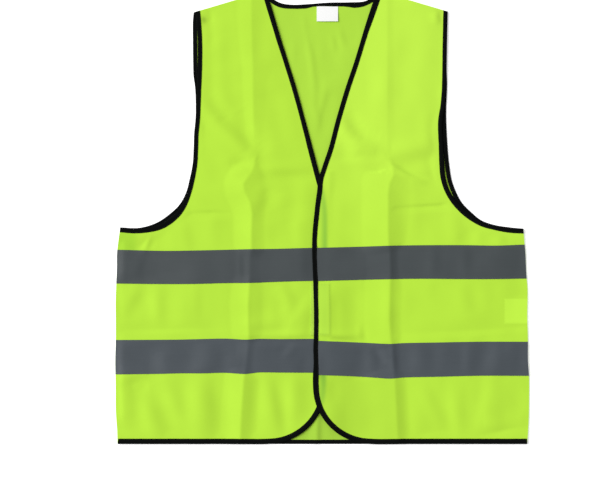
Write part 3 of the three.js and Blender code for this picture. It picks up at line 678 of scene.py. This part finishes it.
def stitch_row(piece, path, pitch, width, proud, start=0.5):
    """A row of short raised stitches along a path of points, in the piece's second slot."""
    steps = np.linalg.norm(np.diff(path, axis=0), axis=1)
    run = np.concatenate([[0], np.cumsum(steps)])
    length = 0.72 * pitch
    middles = np.arange(start * pitch, run[-1] - 0.4 * pitch, pitch)

    def at(s):
        return np.column_stack([np.interp(s, run, path[:, i]) for i in range(3)])

    along = unit(at(middles + 0.3 * length) - at(middles - 0.3 * length))
    across = unit(np.cross(along, (0, 0, 1.0)))
    up = np.cross(across, along)
    rings = [(-0.5, 0.15), (-0.34, 0.8), (0, 1), (0.34, 0.8), (0.5, 0.15)]
    turns = np.linspace(0, 2 * math.pi, 6, endpoint=False)
    template = np.array([(place * length, size * width / 2 * math.cos(turn),
                          size * proud * math.sin(turn)) for place, size in rings
                         for turn in turns])[:, :, None]
    points = (at(middles)[:, None] + template[:, 0] * along[:, None]
              + template[:, 1] * across[:, None] + template[:, 2] * up[:, None])
    number = np.arange(len(template)).reshape(len(rings), len(turns))
    turned = np.roll(number, -1, axis=1)
    walls = np.stack([turned[:-1], number[:-1], number[1:], turned[1:]], axis=-1)
    faces = [*walls.reshape(-1, 4).tolist(), number[0].tolist(), number[-1][::-1].tolist()]
    every = [[k * len(template) + i for i in face] for k in range(len(middles)) for face in faces]
    piece.add(points.reshape(-1, 3), every, 1)


# ------ materials
def new_material(name, base, roughness, specular, sheen=0.0):
    """A material, its tree and its shader, with the values that are the same all over."""
    material = bpy.data.materials.new(name)
    material.use_nodes = True
    tree = material.node_tree
    shader = tree.nodes["Principled BSDF"]
    shader.inputs["Base Color"].default_value = (*base, 1)
    shader.inputs["Roughness"].default_value = roughness
    shader.inputs["Specular IOR Level"].default_value = specular
    shader.inputs["Sheen Weight"].default_value = sheen
    shader.inputs["Sheen Roughness"].default_value = 0.5
    return material, tree, shader


def node(tree, kind, inputs=(), **settings):
    """A node with its settings, and its inputs joined to sockets or set to values."""
    made = tree.nodes.new(kind)
    for name, value in settings.items():
        setattr(made, name, value)
    for key, value in dict(inputs).items():
        if isinstance(value, bpy.types.NodeSocket):
            tree.links.new(value, made.inputs[key])
        else:
            made.inputs[key].default_value = value
    return made


def object_place(tree):
    return node(tree, "ShaderNodeTexCoord").outputs["Object"]


def bands(tree, vector, direction, pitch, distortion=0.0):
    """A sine wave of bands, one each pitch mm."""
    made = node(tree, "ShaderNodeTexWave",
                {"Vector": vector, "Scale": 2 * math.pi / 20 / (pitch * MM),
                 "Distortion": distortion, "Detail": 1.0},
                wave_type="BANDS", bands_direction=direction, wave_profile="SIN")
    return made.outputs["Fac"]


def noise(tree, vector, scale, detail=2.0):
    made = node(tree, "ShaderNodeTexNoise",
                {"Vector": vector, "Scale": scale, "Detail": detail})
    return made.outputs["Fac"]


def ranged(tree, value, low, high):
    made = node(tree, "ShaderNodeMapRange", {"Value": value, "To Min": low, "To Max": high})
    return made.outputs["Result"]


def joined(tree, operation, first, *others):
    """Numbers added or multiplied, as the operation says."""
    for other in others:
        made = node(tree, "ShaderNodeMath", {0: first, 1: other}, operation=operation)
        first = made.outputs[0]
    return first


def colour_by(tree, shader, base, *factors):
    """Joins the base colour, multiplied by numbers or colours, to the shader."""
    colour = base
    for factor in factors:
        made = node(tree, "ShaderNodeVectorMath", {0: colour, 1: factor}, operation="MULTIPLY")
        colour = made.outputs[0]
    tree.links.new(colour, shader.inputs["Base Color"])


def bump(tree, shader, height, distance, strength=1.0):
    made = node(tree, "ShaderNodeBump",
                {"Height": height, "Distance": distance * MM, "Strength": strength})
    tree.links.new(made.outputs["Normal"], shader.inputs["Normal"])


def knit_material():
    """Fine warp knit: wales along the garment, courses across, slightly cloudy dye, and painted shade
    in the grooves between the loops.
    """
    base = (0.420, 0.704, 0.0375)
    material, tree, shader = new_material("knit", base, 0.72, 0.2, 0.12)
    place = object_place(tree)
    tint = node(tree, "ShaderNodeAttribute", attribute_name="tint").outputs["Color"]
    wales = bands(tree, place, "X", 1.0, 0.6)
    courses = bands(tree, place, "Y", 0.8, 0.8)
    loops = joined(tree, "MULTIPLY", wales, ranged(tree, courses, 0.55, 1.0))
    fuzz = noise(tree, place, 2600, 3.0)
    height = joined(tree, "ADD", loops, ranged(tree, fuzz, 0.0, 0.5))
    clouds = ranged(tree, noise(tree, place, 22, 3.0), 0.985, 1.015)
    grain = ranged(tree, fuzz, 0.97, 1.03)
    # painted shade: darker where the loops are low
    groove_shade = ranged(tree, loops, 0.96, 1.02)
    factor = joined(tree, "MULTIPLY", clouds, grain, groove_shade)
    colour_by(tree, shader, base, tint, factor)
    bump(tree, shader, height, 0.08, 0.5)
    return material


def tape_material(name, base):
    """Grey retroreflective tape: a fine plain weave under a satin coat of glass beads."""
    material, tree, shader = new_material(name, base, 0.44, 0.35)
    place = object_place(tree)
    weave = joined(tree, "ADD", bands(tree, place, "X", 0.5), bands(tree, place, "Y", 0.5))
    beads = noise(tree, place, 5200, 1.0)
    height = joined(tree, "ADD", weave, beads)
    clouds = ranged(tree, noise(tree, place, 35, 4.0), 0.93, 1.07)
    streaks = node(tree, "ShaderNodeMapping", {"Vector": place, "Scale": (4, 160, 4)})
    worn = ranged(tree, noise(tree, streaks.outputs[0], 3.0, 3.0), 0.95, 1.05)
    grain = ranged(tree, beads, 0.9, 1.1)
    factor = joined(tree, "MULTIPLY", clouds, grain, worn)
    colour_by(tree, shader, base, factor)
    tree.links.new(ranged(tree, clouds, 0.36, 0.5), shader.inputs["Roughness"])
    bump(tree, shader, height, 0.03, 0.5)
    return material


def ribbed_material(name, base, roughness, specular, pitch, depth):
    """Narrow woven ribbon, its ribs across the way it runs, with painted shade between the ribs."""
    material, tree, shader = new_material(name, base, roughness, specular)
    weave = node(tree, "ShaderNodeAttribute", attribute_name="weave").outputs["Vector"]
    ribs = bands(tree, weave, "X", pitch, 0.3)
    yarns = bands(tree, weave, "Y", 0.45)
    height = joined(tree, "ADD", ribs, ranged(tree, yarns, 0.0, 0.5))
    fuzz = noise(tree, weave, 2400, 2.0)
    # painted shade: darker between the ribs
    factor = joined(tree, "MULTIPLY", ranged(tree, ribs, 0.8, 1.1),
                    ranged(tree, fuzz, 0.85, 1.15))
    colour_by(tree, shader, base, factor)
    bump(tree, shader, height, depth, 0.7)
    return material


def thread_material(name, base):
    """Twisted sewing thread."""
    material, tree, shader = new_material(name, base, 0.55, 0.3)
    twist = noise(tree, object_place(tree), 4000, 2.0)
    colour_by(tree, shader, base, ranged(tree, twist, 0.85, 1.15))
    bump(tree, shader, twist, 0.04, 0.6)
    return material


def loop_material():
    """Hook and loop tape: a dull pile of tiny loops."""
    base = (0.47, 0.76, 0.07)
    material, tree, shader = new_material("hook_and_loop", base, 0.9, 0.15, 0.2)
    pile = node(tree, "ShaderNodeTexVoronoi", {"Vector": object_place(tree), "Scale": 1400.0})
    colour_by(tree, shader, base, ranged(tree, pile.outputs["Distance"], 1.1, 0.7))
    bump(tree, shader, pile.outputs["Distance"], 0.25, 0.8)
    return material


knit = knit_material()
tape_cloth = {"upper": tape_material("reflective_tape_upper", (0.047, 0.0565, 0.060)),
              "lower": tape_material("reflective_tape_lower", (0.055, 0.0665, 0.077))}
binding_cloth = ribbed_material("binding_tape", (0.0026, 0.0032, 0.0029), 0.8, 0.03, 0.9, 0.06)
label_cloth = ribbed_material("label", (0.86, 0.86, 0.85), 0.6, 0.3, 0.5, 0.03)
hook_and_loop = loop_material()
black_thread = thread_material("black_thread", (0.005, 0.0055, 0.005))
grey_thread = thread_material("grey_thread", (0.085, 0.095, 0.1))
green_thread = thread_material("green_thread", (0.38, 0.62, 0.05))

# ------ tints of the knit: what shows through it, and painted light and shade
WHITE = (1.0, 1.0, 1.0)
# the right front's black binding showing through the left front, and painted shade beside it
BLACK_SHOWN_AND_SHADE = (0.57, 0.71, 0.92)
OVER_LABEL = (1.13, 1.125, 1.28)
OVER_STRIP = (0.95, 0.95, 1.12)
# the back's knit darker and bluer all over: partly its own tone, partly painted shade under the
# raised fronts
BACK_TONE_AND_SHADE = (0.90, 0.92, 1.08)
# painted light: the left front's upper chest lighter, as if lit more strongly
PAINTED_LIGHT_CHEST = (1.10, 1.07, 1.34)
# painted shade: the left front darker at its lower corner
PAINTED_SHADE_CORNER = (0.93, 0.93, 0.92)
# painted shade: the right front darker and yellower under its armhole
PAINTED_SHADE_ARMPIT = (0.83, 0.90, 0.76)
# painted shade: the back darker in the notch at the hem, under the fronts
PAINTED_SHADE_NOTCH = (0.86, 0.87, 0.9)
# the box of that painted shade under the armhole: left, right, bottom, top
ARMPIT_SHADE_BOX = (-308, -276, -58, 0)
# painted shade: the knit darker round the point where the binding's end is turned under
SHOULDER_TUCK = (-176, 293.5)  # where the binding's end is turned under
TUCK_SPREAD = 5
TUCK_SHADE = 0.27
# How much the right front's black binding shows through the left front, with painted shade on the
# cloth beside it: y and share.
SHOWN_BLACK_AND_SHADE = [(75, 0), (40, 0.75), (-46, 1), (-96, 0.1), (-178, 0.1), (-235, 1.1), (-255, 0.8),
               (-290, 0.55), (-330, 0)]


def mixed(tint, share):
    """White where the share is 0, and the tint where it is 1."""
    share = share[:, None]
    return WHITE * (1 - share) + tint * share


# painted shade on the right front: round the shoulder tuck and under the armhole
def right_painted_shade(x, y):
    far = np.hypot(x - SHOULDER_TUCK[0], y - SHOULDER_TUCK[1])
    # painted shade round the shoulder tuck
    tuck = np.outer(1 - TUCK_SHADE * np.exp(-(far**2) / TUCK_SPREAD**2), WHITE)
    return tuck * mixed(PAINTED_SHADE_ARMPIT, box_mask(x, y, *ARMPIT_SHADE_BOX, 16))


def left_tint(x, y):
    """Thin cloth shows the other front's black binding, the hook strip and the label under it; it
    also gets painted shade beside that binding and at the lower corner, and painted light on the
    upper chest.
    """
    edge = front_x("right", np.maximum(y, CORNER_TOP_Y - 55))
    lip = edge - by_height(EDGE_WIDTHS["right"], y)
    # the mask reaches past the binding's inner edge: painted shade beside the binding
    binding = ease((edge + 3 - x) / 7) * ease((x - lip + 7) / 11)
    tint = mixed(BLACK_SHOWN_AND_SHADE, binding * by_height(SHOWN_BLACK_AND_SHADE, y))
    edge = front_x("left", y)
    strip = (edge + BINDING_WIDTH, edge + STRIP_REACH, STRIP_BOTTOM, STRIP_TOP)
    tint = tint * mixed(OVER_STRIP, box_mask(x, y, *strip))
    # painted light, growing towards the top of the left front
    tint = tint * mixed(PAINTED_LIGHT_CHEST, ease((y + 110) / 290))
    # painted shade at the left front's lower corner
    tint = tint * mixed(PAINTED_SHADE_CORNER, ease((128 - x) / 30) * ease((-226 - y) / 12))
    inner, top, bottom = CARE_LABEL
    return tint * mixed(OVER_LABEL, box_mask(x, y, inner, PAST_SEAM, bottom, top))


# the back's tone with painted shade under the fronts, and more painted shade in the notch
def back_tone_and_shade(x, y):
    # painted shade towards the hem in the notch between the fronts
    return BACK_TONE_AND_SHADE * mixed(PAINTED_SHADE_NOTCH, ease((-y - 268) / 30) * ease((70 - np.abs(x)) / 20))


# ------ the pieces
sewn_on = {"back": [], "right": [], "left": []}


def finished(piece, node_name, materials, tint=None):
    obj = piece.make(f"{node_name}_cloth", materials, tint)
    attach(obj, "root")
    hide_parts(node_name)
    return obj


def panel_loop(curves):
    """A closed outline from curves, each starting where one ends or a straight seam later."""
    parts = [curves[0]]
    for part in [*curves[1:], curves[0]]:
        end = parts[-1][-1]
        if math.dist(end, part[0]) > 1.5 * STEP:
            parts.append(straight(end, part[0]))
        parts.append(part)
    return np.vstack(parts[:-1])


def make_panel(panel, node_name, loop, spacing, materials, tint):
    """A panel of knit inside a closed outline."""
    xy, faces = fill(loop, spacing)
    piece = Piece()
    shell(piece, xy, faces, under_z(panel, xy[:, 0], xy[:, 1]))
    if panel == "left":
        box_stitches(piece)
    return finished(piece, node_name, materials, tint)


def make_back():
    rim = {name: bounds[f"back_{name}"].inside(EDGE_IN)
           for name in ("right_hole", "hem", "left_hole", "neck")}
    loop = panel_loop([rim["right_hole"], seams["right"][1:-1], rim["hem"],
                       seams["left"][1:-1][::-1], rim["left_hole"][::-1], rim["neck"][::-1]])
    return make_panel("back", "back", loop, BACK_GRID, [knit], back_tone_and_shade)


def make_front(side, tint):
    front, hole = (bounds[f"{side}_{name}"].inside(EDGE_IN) for name in ("front", "hole"))
    loop = panel_loop([front, seams[side][1:-1][::-1], hole[::-1]])
    if side == "right":
        loop = loop[::-1]
    return make_panel(side, f"front_{side}", loop, FRONT_GRID, [knit, green_thread], tint)


def box_stitches(piece):
    """The seam round the hook strip, through the left front."""
    y = np.arange(STRIP_TOP - 1.5, STRIP_BOTTOM + 1.5, -1.5)
    outer = front_x("left", y) + BINDING_WIDTH + 1.6
    inner = front_x("left", y) + BINDING_WIDTH + STRIP_WIDTH - 1.2
    rows = [(inner, y), (outer, y)]
    for i in (0, -1):
        rows.append((np.arange(outer[i], outer[i] + STRIP_WIDTH - 2.8, 1.5), y[i]))
    for x, level in rows:
        x, level = np.broadcast_arrays(x, level)
        path = np.column_stack([x, level, front_z("left", x, level) + CLOTH])
        stitch_row(piece, path, *BOX_STITCH)


def tape_ends(panel, y):
    """x of a tape's two ends, at the side seams or just inside a front edge."""
    low = front_x("left", y) + TAPE_IN if panel == "left" else side_x("right", y)
    high = front_x("right", y) - TAPE_IN if panel == "right" else side_x("left", y)
    return low, high


def make_tape(panel, level):
    """A tape on a panel's outer face, with a stitch row along each long edge."""
    table = TAPES[panel][level]
    top, bottom = tape_lines(table, np.zeros(1))
    low, high = tape_ends(panel, top)
    share = np.linspace(0, 1, max(40, round(abs(high[0] - low[0]) / TAPE_GRID)))[None, :]
    down = np.linspace(0, 1, 22)[:, None]
    y = top + (bottom - top) * down
    for _ in range(2):
        low, high = tape_ends(panel, y)
        x = low + (high - low) * share
        top, bottom = tape_lines(table, x)
        y = top * (1 - down) + bottom * down
    piece = Piece()
    under = under_z(panel, x, y) + (-LAYER if panel == "back" else LAYER)
    grid_shell(piece, x, y, under)
    z = under if panel == "back" else under + CLOTH
    for row, start in ((1, 0.5), (-2, 0.8)):
        path = np.column_stack([x[row], y[row], z[row]])
        stitch_row(piece, path, *TAPE_STITCH, start)
    node_name = f"back_tape_{level}" if panel == "back" else f"front_{panel}_tape_{level}"
    sewn_on[panel].append(finished(piece, node_name,
                                   [tape_cloth[level], grey_thread]))


# Section of a folded binding: distance from its outer edge, and height over the panel's
# underside. It runs over the top to the fold, back under the panel, and returns inside.
BINDING_SECTION = [(6.5, 0.70), (6.42, 1.0), (6.1, 1.1), (5.2, 1.03), (4.5, 1.13), (3.3, 1.2),
                   (2.1, 1.2), (1.3, 1.15)]
BINDING_SECTION += [(EDGE_IN * (1 - math.sin(math.radians(t))),
                     0.25 + 0.85 * math.cos(math.radians(t))) for t in range(0, 181, 30)]
BINDING_SECTION += [(3.5, -0.6), (6.3, -0.6), (6.5, -0.45), (6.4, -0.1), (5.2, -0.1),
                    (3.5, -0.1), (0.75, -0.1), (0.5, 0.25), (0.75, 0.6), (3.5, 0.6),
                    (5.2, 0.6), (6.4, 0.6)]


def make_binding(panel, node_name, bound, seed, widths=BINDING_WIDTH, tapes=()):
    """A ribbon folded over a bound edge and sewn down, higher where it crosses a tape."""
    steps = np.linalg.norm(np.diff(bound.curve, axis=0), axis=1)
    run = np.concatenate([[0], np.cumsum(steps)])
    random = np.random.default_rng(seed)
    wobble = np.zeros(len(run))
    for length in (9, 14, 23, 47, 90):
        wobble += np.sin(run * 2 * math.pi / length + random.uniform(0, 6.3)) / 5
    crown = -0.1 if panel == "back" else 0.1
    rings = np.zeros((len(run), len(BINDING_SECTION), 3))
    weave = np.zeros_like(rings)
    across = 0.0
    wider = widths / BINDING_WIDTH
    # The fold keeps its size, and what is over the cloth rises over a tape and swells.
    for i, (reach, dz) in enumerate(BINDING_SECTION):
        width = reach * (wider if reach > 1.3 else 1) + (0.12 * wobble if reach > 5.5 else 0)
        place = bound.inside(width)
        x, y = place[:, 0], place[:, 1]
        lift = LAYER * on_tape(tapes, x, y) if dz > 0.55 else 0
        puff = crown + 0.05 * wobble if 1.3 <= reach <= 4.5 and dz > 1.1 else 0
        rings[:, i, :2] = place
        rings[:, i, 2] = under_z(panel, x, y) + dz + lift + puff
        if i:
            across += math.dist(BINDING_SECTION[i - 1], (reach, dz))
        weave[:, i, 0] = run
        weave[:, i, 1] = across
    piece = Piece()
    sweep(piece, rings, weave)
    row = bound.inside(STITCH_IN * wider)
    flat = under_z(panel, row[:, 0], row[:, 1])
    lift = LAYER * on_tape(tapes, row[:, 0], row[:, 1])
    stitch_row(piece, np.column_stack([row, flat + 1.05 + lift]), *BINDING_STITCH)
    stitch_row(piece, np.column_stack([row, flat - 0.56]), *UNDER_STITCH)
    sewn_on[panel].append(finished(piece, node_name,
                                   [binding_cloth, black_thread]))


def make_patch(panel, node_name, x, y, under, material):
    """A plain piece of cloth on a grid of points: a label or a closure strip."""
    piece = Piece()
    grid_shell(piece, x, y, under)
    sewn_on[panel].append(finished(piece, node_name, [material]))


def make_neck_label():
    """It hangs from the neck binding, its lower edge standing a little off the cloth."""
    left, right, bottom = NECK_LABEL
    lip = bounds["back_neck"].inside(neck_widths + 0.15)
    columns = np.linspace(left, right, 17)[None, :]
    down = np.linspace(0, 1, 14)[:, None]
    x = np.broadcast_to(columns, (14, 17))
    y = np.interp(columns, lip[:, 0], lip[:, 1]) * (1 - down) + bottom * down
    z = back_z(x, y) + LAYER + 0.9 * ease(down) + 0.25 * down * np.sin(x / 9)
    make_patch("back", "neck_label", x, y, z, label_cloth)


def grid(ends, top, bottom):
    """x and y of a grid between two heights; ends gives its lowest and highest x at y."""
    rows = max(2, round((top - bottom) / LABEL_GRID) + 1)
    y = np.linspace(top, bottom, rows)[:, None]
    low, high = ends(y)
    columns = max(3, round(np.max(high - low) / LABEL_GRID) + 1)
    x = low + (high - low) * np.linspace(0, 1, columns)[None, :]
    return x, np.broadcast_to(y, x.shape)


def make_care_label():
    """It is caught in the left side seam and lies under the left front."""
    inner, top, bottom = CARE_LABEL
    x, y = grid(lambda y: (inner, side_x("left", y) - 0.2), top, bottom)
    make_patch("left", "care_label", x, y, front_z("left", x, y) - LAYER, label_cloth)


def make_strip(side, node_name):
    """A closure strip beside the front edge: hooks under the left front, loops on the right."""
    hand, lift = (1, -LAYER) if side == "left" else (-1, LAYER)

    def ends(y):
        outer = front_x(side, y) + hand * (BINDING_WIDTH + 0.4)
        inner = front_x(side, y) + hand * (BINDING_WIDTH + STRIP_WIDTH)
        return (outer, inner)[::hand]

    x, y = grid(ends, STRIP_TOP, STRIP_BOTTOM)
    make_patch(side, node_name, x, y, front_z(side, x, y) + lift,
               hook_and_loop)


back = make_back()
fronts = {"right": make_front("right", right_painted_shade), "left": make_front("left", left_tint)}

for level in ("upper", "lower"):
    for panel in ("back", "right", "left"):
        make_tape(panel, level)

for side in ("right", "left"):
    hole, front = bounds[f"{side}_hole"], bounds[f"{side}_front"]
    make_binding(side, f"armhole_binding_front_{side}", hole, 21,
                 by_height(HOLE_WIDTHS[side], hole.curve[:, 1]))
    make_binding(side, f"edge_binding_front_{side}", front, 22,
                 by_height(EDGE_WIDTHS[side], front.curve[:, 1]), TAPES[side].values())
    make_binding("back", f"armhole_binding_back_{side}", bounds[f"back_{side}_hole"], 23)

neck_widths = np.interp(bounds["back_neck"].curve[:, 0], *np.transpose(NECK_WIDTHS))
make_binding("back", "neck_binding_back", bounds["back_neck"], 24, neck_widths)
make_binding("back", "hem_binding_back", bounds["back_hem"], 24)
make_neck_label()
make_care_label()
make_strip("left", "hook_strip")
make_strip("right", "loop_strip")


# ------ floor, light, camera
def make_floor():
    piece = Piece()
    corners = ((-1, -1), (1, -1), (1, 1), (-1, 1))
    piece.add([(i * FLOOR_HALF, j * FLOOR_HALF, FLOOR_Z) for i, j in corners], [(0, 1, 2, 3)])
    material, tree, shader = new_material("floor", (0.9, 0.9, 0.9), 0.9, 0.0)
    shader.inputs["Emission Color"].default_value = (1, 1, 1, 1)
    shader.inputs["Emission Strength"].default_value = 0.4
    bump(tree, shader, noise(tree, object_place(tree), 300), 0.02, 0.2)
    piece.make("floor", [material])


make_floor()

world = bpy.data.worlds.new("studio")
scene.world = world
world.use_nodes = True
sky = world.node_tree.nodes["Background"]
sky.inputs["Color"].default_value = (1, 1, 1, 1)
sky.inputs["Strength"].default_value = WORLD_STRENGTH

sun = bpy.data.lights.new("key", "SUN")
sun.energy = KEY_STRENGTH
sun.angle = math.radians(KEY_SPREAD)
key = placed("key", sun)
key.rotation_euler = (0, math.radians(-(90 - KEY_ELEVATION)), math.radians(TO_LIGHT - 180))

lens = bpy.data.cameras.new("camera")
camera = placed("camera", lens)
lens.sensor_width = SENSOR_WIDTH
lens.lens = SENSOR_WIDTH * CAMERA_PLACE[2] / SEEN_WIDTH
camera.location = CAMERA_PLACE
camera.rotation_euler = (0, 0, 0)
scene.camera = camera
scene.view_settings.view_transform = "Standard"
